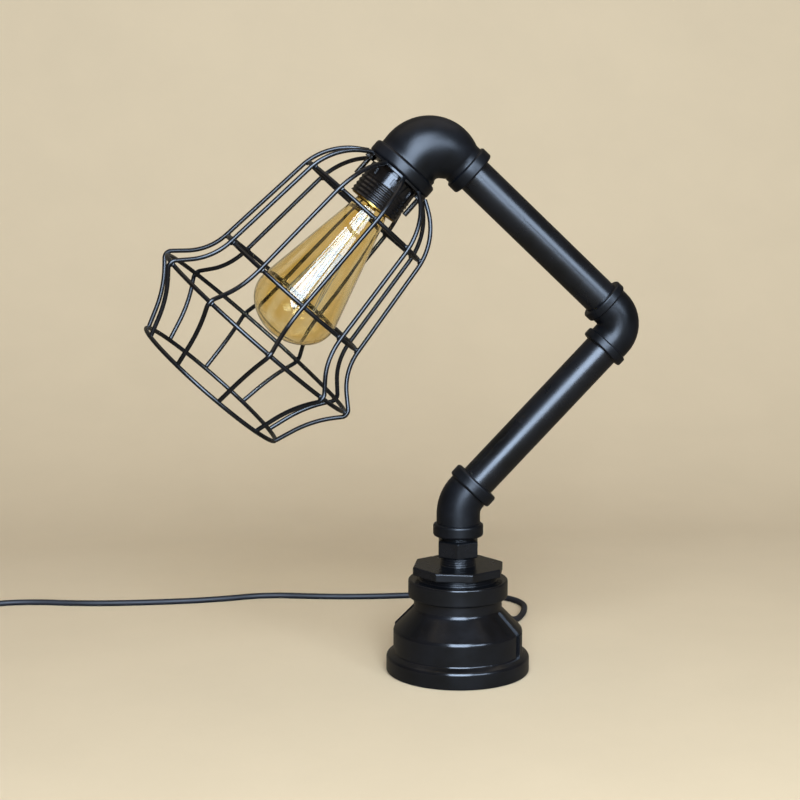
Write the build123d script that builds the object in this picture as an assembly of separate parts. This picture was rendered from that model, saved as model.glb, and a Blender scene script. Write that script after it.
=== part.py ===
from build123d import *
import os
from math import cos, pi, radians, sin, sqrt, tan

# Cage table lamp: pipe fittings carry a wire cage with a bulb, and the cord lies behind the base.
# Millimetres and degrees. The origin is the middle of the base's underside, +Z is up, and the arms
# lie in the XZ plane.

# Clearances and shared thread sizes
overrun = 1.0
thread_fit = 0.05
seat_gap = 0.3
thread_step = 1.8
thread_depth = 0.7
quarter = 90.0

# Pipe, and how far a pipe screws into a fitting
pipe_r = 13.45
pipe_wall = 2.65
grip = 14.0

# Base reducer, from the floor up
drum_r = 48.7
drum_wall = 4.8
foot_out = 5.3
foot_h = 12.5
shoulder_h = 3.0
drum_h = 17.0
cone_h = 16.0
neck_wall = 3.2
neck_h = 9.0
collar_wall = 7.5
collar_h = 13.5
cone_wall_h = 3.5
cast_round = 1.5
bell_round = 4.0
lug_w = 5.0
lug_out = 1.6
lug_count = 2
lug_angle = -28.0
cover_t = 2.5

# Bushing with its octagon, and the hexagon nipple
bushing_r = 30.0
bushing_grip = 20.0
bushing_show = 4.7
octagon_out = 2.7
octagon_h = 6.1
octagon_angle = 9.8
flat_chamfer = 0.8
nipple_show = 6.7
hex_out = 1.15
hex_h = 12.5
hex_angle = 22.0
nipple_gap = 3.0
nipple_step = 0.8

# Lower elbow, middle elbow and the pipes between the fittings
lower_turn = 43.5
lower_wall = 2.85
lower_crotch = 7.7
lower_reach = 26.0
lower_far_reach = 21.0
lower_band_out = 2.5
lower_band_w = 9.6
lower_span = 134.25
middle_turn = 90.0
middle_wall = 2.15
middle_crotch = 0.4
middle_reach = 27.5
middle_band_out = 1.9
middle_band_w = 7.0
upper_span = 132.1
band_round_share = 0.8

# Head elbow, which widens through its turn and swells outwards, so that its large end stands out from the turn
head_turn = 91.5
head_out = 3.6
head_crotch = 0.5
head_reach = 38.0
head_neck_wall = 3.05
head_wall = 3.1
head_small_band_out = 2.0
head_small_band_w = 9.0
head_band_out = 3.0
head_band_w = 10.0
head_well_gap = 2.5
head_well_h = 24.0
head_throat_step = 3.9
head_core_h = 8.0
head_sections = 9
head_widen_power = 2.4
head_swell_share = 0.1

# Cage plate with its studs and nuts
plate_out = 0.3
plate_t = 1.5
plate_hole_gap = 1.3
stud_r = 2.0
stud_inset = 2.9
stud_angle = 23.5
stud_hold = 8.0
stud_out = 17.7
stud_step = 0.9
stud_depth = 0.35
nut_flat = 3.5
nut_h = 3.2

# Cage wire: drops are measured from the plate's outer face along the cage, and steps from the level before
wire_r = 1.6
weld = 0.12
rib_count = 10
rib_angle = 12.0
shoulder_drop = 15.9
shoulder_r = 53.9
waist_step = 114.9
waist_r = 66.2
brim_step = 22.35
brim_r = 90.6
tuck_step = 20.05
tuck_r = 72.8
lip_step = 29.8
lip_r = 62.1
rib_bend_shares = [0.775, 0.51, 0.1925, 0.632]
ring_1_step = 19.0
ring_2_back = 17.0

# Lampholder: heights are measured from the plate's outer face along the leaning holder
holder_lean = 3.9
holder_out = 3.7
skirt_out = 0.7
skirt_groove = 0.8
skirt_step = 3.0
smooth_h = 9.5
holder_h = 27.2
notch_count = 8
notch_w = 3.0
notch_depth = 1.0
notch_h = 5.0
holder_neck_wall = 1.55
holder_neck_h = 9.0
cup_wall = 2.5
cup_round = 9.0
cup_h = 22.0
cup_floor = 3.0
cup_hole_gap = 0.7
insert_t = 5.0
insert_top = 1.5
shell_bore_r = 13.6
shell_t = 0.5
shell_gap = 0.25
shell_lip_in = 1.0
shell_lip_t = 0.8
contact_r = 3.5
contact_t = 0.6
rivet_r = 1.4
rivet_h = 8.0
terminal_circle_r = 9.0
terminal_r = 1.5
terminal_head_r = 2.4
terminal_head_h = 2.0
terminal_hold = 3.0

# Bulb
bulb_tip_r = 4.6
bulb_tip_h = 1.2
insulator_low_r = 5.2
insulator_in = 1.6
insulator_h = 2.6
cap_gap = 0.4
cap_wall = 0.9
cap_floor = 0.6
cap_h = 22.2
cap_thread_h = 14.5
cap_thread_step = 3.62
cap_thread_depth = 0.6
glass_t = 0.9
glass_hold = 8.0
glass_neck_gap = 0.1
glass_flare_out = 0.4
glass_flare_h = 2.2
glass_r = 33.0
glass_side_share = 0.727
glass_end_share = 1.121
glass_length = 117.6
stem_foot_h = 1.5
stem_r = 4.0
stem_tip_r = 2.0
stem_h = 42.0
mast_r = 0.9
mast_h = 60.0
filament_r = 0.35
filament_pairs = 6
filament_top_r = 7.5
filament_low_r = 15.0
filament_top_h = 8.0
filament_low_h = 54.0
hook_r = 0.4

# Flex inside the pipes
cord_r = 2.5
lead_split = 40.0
lead_bend_shares = [0.38, 0.25, 0.63, 0.85]
lead_end_h = 16.0

# Strain relief in the back of the drum, a quarter turn from the lugs
exit_angle = lug_angle + quarter
relief_fit = 0.1
relief_r = 5.9
relief_edge = 0.5
relief_flange_t = 2.5
relief_inner_h = 1.2
relief_root_r = 6.0
relief_tip_wall = 1.4
relief_h = 22.0

# Cord route from the strain relief: in the air, then on the floor, then up to the inline switch
bend_share = 0.45
cord_lead = 18.0
cord_fall = [(54.0, 103.0, 11.0)]
cord_floor = [
    (66.0, 122.0), (77.5, 148.0), (82.5, 178.0), (66.0, 202.0), (35.0, 208.5), (0.0, 213.5), (-50.0, 212.5),
    (-92.0, 217.0), (-138.0, 228.0), (-185.0, 215.5), (-240.0, 212.0), (-296.0, 214.0), (-346.0, 226.0),
    (-386.0, 219.0), (-408.0, 192.0)]
cord_rise_run = 22.0

# Inline switch
switch_x = -412.0
switch_y = 138.0
switch_l = 62.0
switch_w = 26.0
switch_corner = 6.0
switch_wall = 2.5
switch_chamfer = 2.0
switch_end = 12.0
window_l = 18.0
window_w = 12.2
rocker_end_gap = 1.0
rocker_gap = 0.5
rocker_top_h = 4.2
rocker_dip = 1.4
rocker_low_h = 3.2
rocker_low_l = 5.0
rocker_side_h = 1.0
rocker_tilt = 7.0
pivot_drop = 3.4
pin_r = 1.0
pin_hold = 2.4
cheek_l = 6.0
cheek_h = 4.5
switch_screw_r = 1.4
switch_screw_l = 13.0
switch_screw_head_r = 2.6
switch_screw_head_h = 1.6
switch_screw_inset = 6.0
blade_w = 6.0
blade_t = 2.0
blade_h = 4.0
blade_y = 10.0

# Coil of the put-away length, its tie and its plug
coil_y = 40.0
coil_first_r = 34.6
coil_gap = 0.5
coil_halves = 5
tie_t = 0.8
tie_w = 6.0
tie_gap = 1.1
tail_start_y = 22.0
tail_end_y = 42.0
tail_shift = -5.0
plug_lead = 18.0
plug_sleeve_h = 14.0
plug_sleeve_r = 5.2
plug_sleeve_tip_r = 3.9
plug_neck_w = 16.0
plug_neck_t = 11.0
plug_w = 35.0
plug_t = 14.0
plug_round = 5.0
plug_taper_h = 14.0
plug_face_h = 18.0
pin_round_r = 2.0
plug_pin_out = 19.0
plug_pin_hold = 8.0
plug_pin_space = 19.0


def aim(angle):
    """Direction in the arm plane at an angle from straight up, positive towards +X."""
    return Vector(sin(radians(angle)), 0, cos(radians(angle)))


def seat(origin, angle, side):
    """Frame with Z along the arm angle and X a quarter turn to the given side."""
    return Plane(origin=origin, x_dir=aim(angle + side * quarter), z_dir=aim(angle)).location


def section(points):
    """Flat half section in XZ; a third number rounds that corner."""
    corners = [(point[0], 0, point[1]) for point in points]
    face = make_face(Polyline(*corners, close=True))
    for corner, point in zip(corners, points):
        if len(point) > 2:
            face = fillet(face.vertices().sort_by_distance(corner)[0], point[2])
    return face


def turned(points):
    """Solid turned about Z from (radius, height, optional round) points."""
    return revolve(section(points), Axis.Z)


def ridges(radius, start, length, step=thread_step, depth=thread_depth):
    """Points of thread rings on a half section, from start upwards over length."""
    turns = max(1, round(length / step))
    rise = length / turns
    points = [(radius, start)]
    for turn in range(turns):
        points.append((radius - depth, start + (turn + 0.5) * rise))
        points.append((radius, start + (turn + 1) * rise))
    return points


def rod(radius, low, high):
    """Round bar along Z between two heights."""
    return Pos(0, 0, low) * Cylinder(radius, high - low, align=(Align.CENTER, Align.CENTER, Align.MIN))


def bend_radii(points, shares):
    """Radius of each corner's bend, which takes up a share of the shorter run beside it."""
    radii = []
    for before, corner, after, share in zip(points, points[1:], points[2:], shares):
        turn = (corner - before).get_angle(after - corner)
        run = min((corner - before).length, (after - corner).length)
        radii.append(share * run / tan(radians(turn) / 2))
    return radii


def prism(sides, flat, low, high, angle=0):
    """Bar with flats along Z, by the distance from its middle to a flat."""
    outline = RegularPolygon(flat / cos(pi / sides), sides, rotation=angle)
    return Pos(0, 0, low) * extrude(outline, high - low)


def tube_along(path, radius):
    """Round tube along a path."""
    return sweep((path ^ 0) * Circle(radius), path=path)


def link(start, end, radius):
    """Round bar between two points."""
    along = end - start
    return Plane(origin=start, z_dir=along).location * rod(radius, 0, along.length)


# Radii and distances across flats that follow from the drum, the bushing and the pipe
mouth_r = drum_r - drum_wall
foot_r = drum_r + foot_out
neck_r = bushing_r + neck_wall
collar_r = bushing_r + collar_wall
octagon_flat = bushing_r + octagon_out
hex_flat = pipe_r + hex_out
socket_r = pipe_r + thread_fit
pipe_bore_r = pipe_r - pipe_wall
nipple_bore_r = pipe_bore_r - nipple_step
lower_body_r = pipe_r + lower_wall
lower_band_r = lower_body_r + lower_band_out
lower_bend = lower_body_r + lower_crotch
middle_body_r = pipe_r + middle_wall
middle_band_r = middle_body_r + middle_band_out
middle_bend = middle_body_r + middle_crotch

# Radii that follow from the lampholder's shell, inwards to the bulb and outwards to the elbow and the plate
holder_bore_r = shell_bore_r + shell_t + shell_gap
holder_neck_r = holder_bore_r + holder_neck_wall
holder_r = holder_neck_r + holder_out
skirt_r = holder_r + skirt_out
shell_lip_r = holder_r - shell_lip_in
cup_r = holder_neck_r + cup_wall
cup_hole_r = cord_r + cup_hole_gap
cap_r = shell_bore_r - cap_gap
insulator_r = cap_r - insulator_in
glass_flare_r = cap_r + glass_flare_out
head_neck_r = pipe_r + head_neck_wall
head_small_band_r = head_neck_r + head_small_band_out
head_well_r = cup_r + head_well_gap
head_throat_r = head_well_r - head_throat_step
head_body_r = head_well_r + head_wall
head_band_r = head_body_r + head_band_out
head_bend = head_body_r + head_crotch
plate_r = head_band_r + plate_out
plate_hole_r = holder_neck_r + plate_hole_gap
stud_circle_r = plate_r - stud_inset

# Levels of the cage
waist_drop = shoulder_drop + waist_step
brim_drop = waist_drop + brim_step
tuck_drop = brim_drop + tuck_step
lip_drop = tuck_drop + lip_step
ring_1_drop = shoulder_drop + ring_1_step
ring_2_drop = waist_drop - ring_2_back

# Heights of the stack on the base axis
foot_top = foot_h + shoulder_h
drum_top = foot_top + drum_h
cone_top = drum_top + cone_h
neck_top = cone_top + neck_h
reducer_top = neck_top + collar_h
octagon_low = reducer_top + bushing_show
octagon_top = octagon_low + octagon_h
hex_low = octagon_top + nipple_show
hex_top = hex_low + hex_h
riser_end = hex_top + nipple_gap
socket_h = grip + seat_gap
exit_z = foot_top + drum_h / 2
relief_flange_r = drum_h / 2 - relief_edge
relief_tip_r = cord_r + relief_tip_wall

# Arm angles and the corners of the pipe line
lower_angle = lower_turn
upper_angle = lower_angle - middle_turn
head_angle = upper_angle - head_turn
lower_corner = Vector(0, 0, riser_end + lower_reach)
middle_corner = lower_corner + aim(lower_angle) * (lower_far_reach + lower_span + middle_reach)
head_corner = middle_corner + aim(upper_angle) * (middle_reach + upper_span + head_reach)
mouth_corner = head_corner + aim(head_angle + quarter) * head_out
cage_origin = mouth_corner + aim(head_angle) * (head_reach + plate_t)
cage_seat = seat(cage_origin, head_angle, -1)
holder_angle = head_angle - holder_lean
holder_seat = seat(cage_origin, holder_angle, -1)
exit_frame = Plane(origin=(0, 0, exit_z), z_dir=aim(quarter).rotate(Axis.Z, exit_angle)).location
relief_tip = drum_r + thread_fit + relief_flange_t + relief_h

pieces = {}


def base_reducer():
    """Bell reducer with its mouth on the floor, lugs on its sides and a hole for the strain relief."""
    top_r = bushing_r + thread_fit
    bell = turned([
        (mouth_r, 0), (foot_r, 0, cast_round), (foot_r, foot_h, 2 * cast_round),
        (drum_r, foot_top, cast_round), (drum_r, drum_top, bell_round), (neck_r, cone_top, bell_round),
        (neck_r, neck_top, cast_round), (collar_r, neck_top, cast_round), (collar_r, reducer_top, cast_round),
        (top_r, reducer_top), (top_r, cone_top - cone_wall_h), (mouth_r, drum_top - cone_wall_h)])
    outline = section([
        (drum_r + lug_out, foot_h), (drum_r + lug_out, drum_top), (neck_r + lug_out, cone_top),
        (neck_r - lug_out, cone_top), (drum_r - lug_out, drum_top), (drum_r - lug_out, foot_h)])
    lug = extrude(outline, lug_w / 2, both=True)
    for number in range(lug_count):
        bell += Rot(0, 0, lug_angle + number * 2 * quarter) * lug
    return bell - exit_frame * rod(relief_r + relief_fit, mouth_r - overrun, foot_r + overrun)


def base_bushing():
    """Reducing bushing: plain below, thread rings where it shows, an octagon on top."""
    low = reducer_top - bushing_grip
    thread = ridges(bushing_r, reducer_top, bushing_show)
    stem = turned([(0, low), (bushing_r, low)] + thread + [(0, octagon_low)])
    octagon = prism(8, octagon_flat, octagon_low, octagon_top, octagon_angle)
    octagon = chamfer(octagon.edges().group_by(Axis.Z)[-1], flat_chamfer)
    socket = rod(socket_r, octagon_top - socket_h, octagon_top + overrun)
    return stem + octagon - rod(nipple_bore_r, low - overrun, octagon_top) - socket


def riser_nipple():
    """Hexagon nipple: the top end is the pivot that the lower elbow turns on."""
    low = octagon_top - grip
    high = riser_end + grip
    below = turned([(0, low), (pipe_r, low)] + ridges(pipe_r, octagon_top, nipple_show) + [(0, hex_low)])
    above = turned([(0, hex_top)] + ridges(pipe_r, hex_top, nipple_gap) + [(pipe_r, high), (0, high)])
    nut = prism(6, hex_flat, hex_low, hex_top, hex_angle)
    nut = chamfer(nut.edges().group_by(Axis.Z)[-1] + nut.edges().group_by(Axis.Z)[0], flat_chamfer)
    return below + nut + above - rod(nipple_bore_r, low - overrun, high + overrun)


def cable_grommet():
    """Rubber strain relief pointing out of the drum, with a tapered tail."""
    bore_r = cord_r + relief_fit
    face = drum_r + thread_fit
    root = face + relief_flange_t
    return exit_frame * turned([
        (bore_r, mouth_r - relief_inner_h), (relief_r, mouth_r - relief_inner_h), (relief_r, face),
        (relief_flange_r, face), (relief_flange_r, root, relief_inner_h), (relief_root_r, root),
        (relief_tip_r, relief_tip), (bore_r, relief_tip)])


pieces["base_reducer"] = base_reducer()
pieces["base_cover"] = rod(mouth_r - thread_fit, 0, cover_t)
pieces["base_bushing"] = base_bushing()
pieces["riser_nipple"] = riser_nipple()
pieces["cable_grommet"] = cable_grommet()


def leg(body_r, band_r, band_w, length):
    """Outside of one straight end of an elbow, with its rounded band."""
    edge = band_round_share * (band_r - body_r)
    return turned([
        (0, 0), (body_r, 0), (body_r, length - band_w), (band_r, length - band_w, edge),
        (band_r, length, edge), (0, length)])


def elbow(turn, bend, body_r, reaches, band_r, band_w):
    """Pipe elbow about its corner: the first end points down Z, the turn goes towards X."""
    tangent = bend * tan(radians(turn) / 2)
    hub = Axis((bend, 0, -tangent), (0, 1, 0))
    heading = aim(turn)
    ends = [Plane(origin=(0, 0, -tangent), z_dir=(0, 0, -1)).location,
            Plane(origin=heading * tangent, z_dir=heading).location]
    outside = revolve(Pos(0, 0, -tangent) * Circle(body_r), hub, turn)
    inside = revolve(Pos(0, 0, -tangent) * Circle(pipe_bore_r), hub, turn)
    for end, reach in zip(ends, reaches):
        length = reach - tangent
        outside += end * leg(body_r, band_r, band_w, length)
        inside += end * rod(pipe_bore_r, 0, length)
        inside += end * rod(socket_r, length - socket_h, length + overrun)
    return outside - inside


def head_elbow():
    """Reducing elbow: a loft of circles through the turn, a band at each end, a well for the holder."""
    tangent = head_bend * tan(radians(head_turn) / 2)
    hub = Vector(head_bend, 0, -tangent)
    heading = aim(head_turn)
    offset = aim(head_turn - quarter) * head_out
    circles = []
    for number in range(head_sections + 1):
        share = number / head_sections
        angle = share * head_turn
        radius = head_body_r - (head_body_r - head_neck_r) * (1 - share) ** head_widen_power
        stand = head_bend * (1 + head_swell_share * sin(pi * share)) + head_out * sin(pi * share / 2) ** 2
        centre = hub + aim(angle - quarter) * stand
        circles.append(Plane(origin=centre, x_dir=(0, 1, 0), z_dir=aim(angle)) * Circle(radius))
    small_end = Plane(origin=(0, 0, -tangent), z_dir=(0, 0, -1)).location
    large_end = Plane(origin=offset + heading * tangent, z_dir=heading).location
    length = head_reach - tangent
    body = small_end * leg(head_neck_r, head_small_band_r, head_small_band_w, length)
    for near, far in zip(circles, circles[1:]):
        body += loft([near, far], ruled=True)
    body += large_end * leg(head_body_r, head_band_r, head_band_w, length)
    body -= rod(pipe_bore_r, -head_reach, head_core_h)
    body -= rod(socket_r, -head_reach - overrun, -head_reach + socket_h)
    mouth = Plane(origin=offset, z_dir=heading).location
    body -= mouth * rod(head_throat_r, head_core_h, head_reach)
    body -= mouth * rod(head_well_r, head_reach - head_well_h, head_reach + overrun)
    body = seat(head_corner, upper_angle, -1) * body
    for place in stud_places:
        body -= cage_seat * place * rod(stud_r + thread_fit, -plate_t - stud_hold - seat_gap, 0)
    return body


def pipe(span):
    """Pipe that screws into a fitting at both ends."""
    length = span + 2 * grip
    return turned([(pipe_bore_r, 0), (pipe_r, 0), (pipe_r, length), (pipe_bore_r, length)])


stud_places = [Rot(0, 0, stud_angle + number * 2 * quarter) * Pos(stud_circle_r, 0, 0) for number in range(2)]
lower_end = lower_corner + aim(lower_angle) * (lower_far_reach - grip)
upper_end = middle_corner + aim(upper_angle) * (middle_reach - grip)
pieces["lower_elbow"] = seat(lower_corner, 0, 1) * elbow(
    lower_turn, lower_bend, lower_body_r, (lower_reach, lower_far_reach), lower_band_r, lower_band_w)
pieces["lower_pipe"] = seat(lower_end, lower_angle, 1) * pipe(lower_span)
pieces["middle_elbow"] = seat(middle_corner, lower_angle, -1) * elbow(
    middle_turn, middle_bend, middle_body_r, (middle_reach, middle_reach), middle_band_r, middle_band_w)
pieces["upper_pipe"] = seat(upper_end, upper_angle, -1) * pipe(upper_span)
pieces["head_elbow"] = head_elbow()


def inner_leads():
    """Flex on the pipes' centre lines, in one length for each body that turns."""
    lower_split = lower_corner - Vector(0, 0, lead_split)
    middle_split = middle_corner - aim(lower_angle) * lead_split
    head_split = head_corner - aim(upper_angle) * lead_split
    gap = seat_gap
    grommet_tip = (exit_frame * Pos(0, 0, relief_tip)).position
    across = aim(holder_angle).cross(aim(upper_angle)).Y
    back = (cage_origin - head_corner).cross(aim(upper_angle)).Y / across
    holder_corner = cage_origin - aim(holder_angle) * back
    routes = {
        "base_lead": [grommet_tip, Vector(0, 0, exit_z), lower_split - Vector(0, 0, gap)],
        "lower_lead": [lower_split, lower_corner, middle_split - aim(lower_angle) * gap],
        "upper_lead": [middle_split, middle_corner, head_split - aim(upper_angle) * gap],
        "head_lead": [head_split, holder_corner, cage_origin - aim(holder_angle) * lead_end_h]}
    leads = {}
    for (name, points), share in zip(routes.items(), lead_bend_shares):
        leads[name] = tube_along(FilletPolyline(*points, radius=bend_radii(points, [share])), cord_r)
    return leads


pieces.update(inner_leads())


def cage_plate():
    """Plate on the elbow's mouth, with a hole for the holder and one for each stud."""
    plate = rod(plate_r, -plate_t, 0) - rod(plate_hole_r, -plate_t - overrun, overrun)
    for place in stud_places:
        plate -= place * rod(stud_r + seat_gap, -plate_t - overrun, overrun)
    return cage_seat * plate


def cage_stud():
    """Long screw in the elbow's rim, with thread rings on the part that shows."""
    low = -plate_t - stud_hold
    return turned([(0, low), (stud_r, low)] + ridges(stud_r, nut_h, stud_out - nut_h, stud_step, stud_depth)
                  + [(0, stud_out)])


def cage_nut():
    """Hexagon nut on the plate."""
    return prism(6, nut_flat, 0, nut_h) - rod(stud_r + thread_fit, -overrun, nut_h + overrun)


def rib_path():
    """Centre line of a cage rib in XZ, from the plate's rim to the lip ring."""
    lip = Vector(lip_r, 0, lip_drop)
    tuck = Vector(tuck_r, 0, tuck_drop)
    last = lip - (lip - tuck).normalized() * (wire_r - weld)
    points = [Vector(plate_r, 0, -plate_t / 2), Vector(shoulder_r, 0, shoulder_drop),
              Vector(waist_r, 0, waist_drop), Vector(brim_r, 0, brim_drop), tuck, last]
    return FilletPolyline(*points, radius=bend_radii(points, rib_bend_shares))


def rib_radius(path, drop):
    """Distance of the rib's centre line from the cage axis at a drop, found by halving."""
    low, high = 0.0, 1.0
    for _ in range(50):
        middle = (low + high) / 2
        if path.position_at(middle).Z < drop:
            low = middle
        else:
            high = middle
    return path.position_at(low).X


def cage_ring(drop, radius):
    """Wire ring about the cage axis."""
    return cage_seat * Pos(0, 0, drop) * Torus(radius, wire_r)


pieces["cage_plate"] = cage_plate()
pieces["cage_studs"] = Part() + [cage_seat * place * cage_stud() for place in stud_places]
pieces["cage_nuts"] = Part() + [cage_seat * place * cage_nut() for place in stud_places]
rib_line = rib_path()
rib = tube_along(rib_line, wire_r)
for number in range(rib_count):
    rib_turn = rib_angle + number * 4 * quarter / rib_count
    pieces[f"cage_rib_{number + 1}"] = cage_seat * Rot(0, 0, rib_turn) * rib
inside = 2 * wire_r - weld
pieces["cage_ring_1"] = cage_ring(ring_1_drop, rib_radius(rib_line, ring_1_drop) - inside)
pieces["cage_ring_2"] = cage_ring(ring_2_drop, rib_radius(rib_line, ring_2_drop) - inside)
pieces["cage_ring_3"] = cage_ring(brim_drop, rib_radius(rib_line, brim_drop) - inside)
pieces["cage_ring_4"] = cage_ring(lip_drop, lip_r)


def holder_body():
    """Bakelite skirt: a notched smooth part, grip rings, and a neck that passes through the plate."""
    low = holder_r * tan(radians(holder_lean)) + seat_gap
    smooth_top = low + smooth_h
    grip_rings = ridges(skirt_r, smooth_top, holder_h - smooth_top, skirt_step, skirt_groove)
    skirt = turned([
        (holder_bore_r, -holder_neck_h), (holder_neck_r, -holder_neck_h), (holder_neck_r, low),
        (holder_r, low), (holder_r, smooth_top), *grip_rings, (holder_bore_r, holder_h)])
    notch = Pos(holder_r, 0, low + smooth_h / 2) * Box(2 * notch_depth, notch_w, notch_h)
    for number in range(notch_count):
        skirt -= Rot(0, 0, number * 4 * quarter / notch_count) * notch
    return skirt


def holder_cap():
    """Rear cup that screws on the skirt's neck behind the plate."""
    rim = -plate_t - cup_r * tan(radians(holder_lean)) - seat_gap
    inner_r = holder_neck_r + thread_fit
    return turned([
        (cup_hole_r, -cup_h), (cup_r, -cup_h, cup_round), (cup_r, rim), (inner_r, rim),
        (inner_r, cup_floor - cup_h, cup_round - cup_floor), (cup_hole_r, cup_floor - cup_h)])


def holder_insert():
    """Porcelain disc with holes for the contact rivet and the terminal screws."""
    low = insert_top - insert_t
    disc = rod(holder_bore_r - thread_fit, low, insert_top)
    disc -= rod(rivet_r + thread_fit, low - overrun, insert_top + overrun)
    for side in (-1, 1):
        disc -= Pos(side * terminal_circle_r, 0, 0) * rod(terminal_r + thread_fit, low, low + terminal_hold)
    return disc


def terminal_screw():
    """Cheese-head screw in the back of the insert."""
    low = insert_top - insert_t
    head = rod(terminal_head_r, low - terminal_head_h, low)
    return head + rod(terminal_r, low, low + terminal_hold - thread_fit)


outer_r = shell_bore_r + shell_t
shell_top = holder_h + shell_lip_t
pieces["holder_body"] = holder_seat * holder_body()
pieces["holder_cap"] = holder_seat * holder_cap()
pieces["holder_insert"] = holder_seat * holder_insert()
pieces["holder_shell"] = holder_seat * turned([
    (shell_bore_r, insert_top), (outer_r, insert_top), (outer_r, holder_h), (shell_lip_r, holder_h),
    (shell_lip_r, shell_top), (shell_bore_r, shell_top)])
pieces["holder_contact"] = holder_seat * (
    rod(contact_r, insert_top, insert_top + contact_t) + rod(rivet_r, insert_top - rivet_h, insert_top))
pieces["terminal_screws"] = Part() + [
    holder_seat * Pos(side * terminal_circle_r, 0, 0) * terminal_screw() for side in (-1, 1)]

# Bulb heights along the holder, from the contact to the glass
tip_low = insert_top + contact_t + seat_gap
tip_high = tip_low + bulb_tip_h
cap_low = tip_high + insulator_h
cap_high = cap_low + cap_h
cap_bore_r = cap_r - cap_wall
glass_low = cap_high - glass_hold


def envelope(inset):
    """Glass outline turned solid, smaller all round by an inset: neck, flare, cone, side arc and end arc."""
    stalk_r = cap_bore_r - glass_neck_gap - inset
    flare = Vector(glass_flare_r - inset, 0, cap_high + glass_flare_h)
    side_x = glass_r - glass_side_share * glass_r
    between = (glass_end_share - glass_side_share) * glass_r
    end_centre = Vector(0, 0, cap_high + glass_length - glass_end_share * glass_r)
    side_centre = end_centre + Vector(side_x, 0, sqrt(between ** 2 - side_x ** 2))
    side_r = glass_side_share * glass_r - inset
    end_r = glass_end_share * glass_r - inset
    across = side_centre - flare
    run = sqrt(across.length ** 2 - side_r ** 2)
    tangent = Vector(run * across.X + side_r * across.Z, 0, run * across.Z - side_r * across.X)
    touch = flare + tangent * (run / across.length ** 2)
    towards = (side_centre - end_centre).normalized()
    join = end_centre + towards * end_r
    crown = end_centre + Vector(0, 0, end_r)
    side_middle = side_centre + ((touch - side_centre).normalized() + towards).normalized() * side_r
    end_middle = end_centre + (towards + Vector(0, 0, 1)).normalized() * end_r
    outline = Polyline((0, 0, glass_low), (stalk_r, 0, glass_low), (stalk_r, 0, cap_high), flare, touch)
    outline += ThreePointArc(touch, side_middle, join)
    outline += ThreePointArc(join, end_middle, crown)
    outline += Line(crown, (0, 0, glass_low))
    return revolve(make_face(outline), Axis.Z)


def bulb_cap():
    """Threaded brass cap."""
    thread_low = cap_low + cap_floor
    return turned(
        [(0, cap_low), (insulator_r, cap_low)]
        + ridges(cap_r, thread_low, cap_thread_h, cap_thread_step, cap_thread_depth)
        + [(cap_r, cap_high), (cap_bore_r, cap_high), (cap_bore_r, thread_low), (0, thread_low)])


def bulb_stem():
    """Glass mount: a flare that closes the neck and a tapered stem."""
    flare_r = cap_bore_r - 2 * glass_neck_gap - glass_t
    flare_top = glass_low + stem_foot_h
    stem_top = glass_low + stem_h
    return turned([
        (0, glass_low), (flare_r, glass_low), (flare_r, flare_top), (stem_r, flare_top + stem_r),
        (stem_tip_r, stem_top), (0, stem_top)])


def filament_points():
    """Corners of the filament's zigzag, up and down round the mast."""
    points = []
    low = glass_low + stem_h
    for number in range(2 * filament_pairs):
        angle = radians(number * 2 * quarter / filament_pairs)
        radius = (filament_top_r, filament_low_r)[number % 2]
        height = (filament_top_h, filament_low_h)[number % 2]
        points.append(Vector(radius * cos(angle), radius * sin(angle), low + height))
    return points


def bulb_filament():
    """Thin wire strung in a zigzag between the hooks, open at its ends."""
    points = filament_points()
    wire = Pos(*points[0]) * Sphere(filament_r)
    for start, end in zip(points, points[1:]):
        wire += link(start, end, filament_r)
        wire += Pos(*end) * Sphere(filament_r)
    return wire


def bulb_supports():
    """Mast on the stem with a hook that reaches to every corner of the filament."""
    low = glass_low + stem_h
    mast = rod(mast_r, low, low + mast_h)
    for point in filament_points():
        root = Vector(0, 0, point.Z)
        reach = (point - root).length - filament_r - thread_fit
        mast += link(root, root + (point - root).normalized() * reach, hook_r)
    return mast


pieces["bulb_contact"] = holder_seat * rod(bulb_tip_r, tip_low, tip_high)
pieces["bulb_insulator"] = holder_seat * turned([
    (0, tip_high), (insulator_low_r, tip_high), (insulator_r, cap_low), (0, cap_low)])
pieces["bulb_cap"] = holder_seat * bulb_cap()
pieces["bulb_glass"] = holder_seat * (envelope(0) - envelope(glass_t) - rod(
    cap_bore_r - glass_neck_gap - glass_t, glass_low - overrun, cap_high))
pieces["bulb_stem"] = holder_seat * bulb_stem()
pieces["bulb_supports"] = holder_seat * bulb_supports()
pieces["bulb_filament"] = holder_seat * bulb_filament()

# The coil's spacing, the heights of its layers and those of the switch on the floor
coil_pitch = 2 * cord_r + coil_gap
coil_low_z = cord_r + tie_t + seat_gap
coil_high_z = coil_low_z + coil_pitch
switch_h = 2 * coil_high_z
switch_low_y = switch_y - switch_l


def cord_tube(name, points):
    """Cord along straight runs with tangent arcs; prints its arcs and its volume check."""
    points = [Vector(*point) for point in points]
    radii = bend_radii(points, [bend_share] * len(points))
    path = FilletPolyline(*points, radius=radii)
    tube = tube_along(path, cord_r)
    print(name, "length", round(path.length, 1), "radii", [round(radius) for radius in radii],
          "volume over section times length", round(tube.volume / (pi * cord_r ** 2 * path.length), 4))
    return tube


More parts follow.
